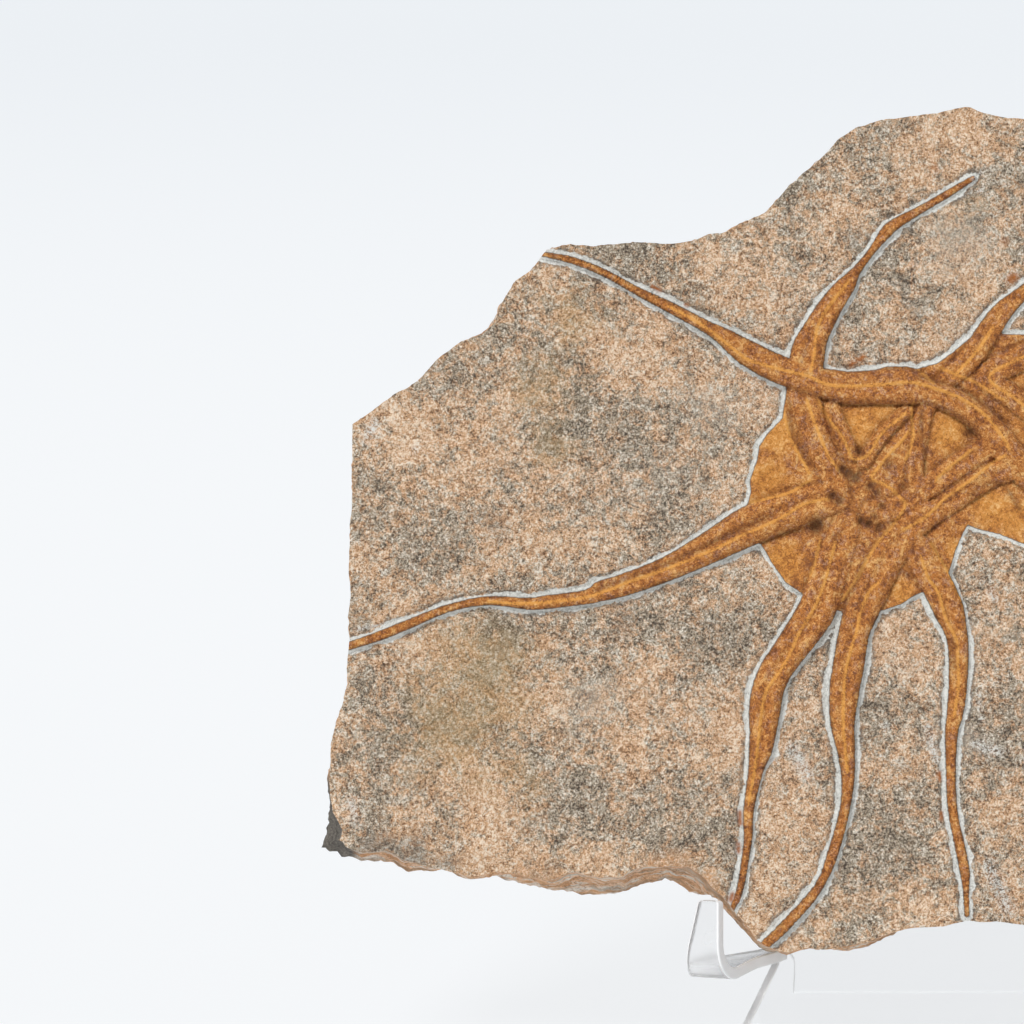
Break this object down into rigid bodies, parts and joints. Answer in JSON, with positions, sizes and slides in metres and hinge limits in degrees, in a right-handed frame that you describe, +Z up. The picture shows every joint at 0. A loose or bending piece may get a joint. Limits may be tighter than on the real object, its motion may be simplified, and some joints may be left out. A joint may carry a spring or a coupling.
{
  "type": "brittle star fossil",
  "caption": "Flat split sandstone slab with fossil brittle stars in low relief, leaning on a bent clear acrylic easel with hooks.",
  "frame": {"origin": "on the surface that the easel stands on, at the middle of the object's plan box", "axes": "+Z up, the slab's face looks along -Y and leans back by 12 degrees, +X to the right of someone who looks at the face"},
  "size_m": [0.295, 0.0889, 0.245],
  "materials": {
    "sandstone": "matte, rough split stone with ochre fossils",
    "clear_acrylic": "polished, clear"
  },
  "bodies": {
    "root": {"fossil_slab": "sandstone", "display_stand": "clear_acrylic"}
  },
  "joints": []
}
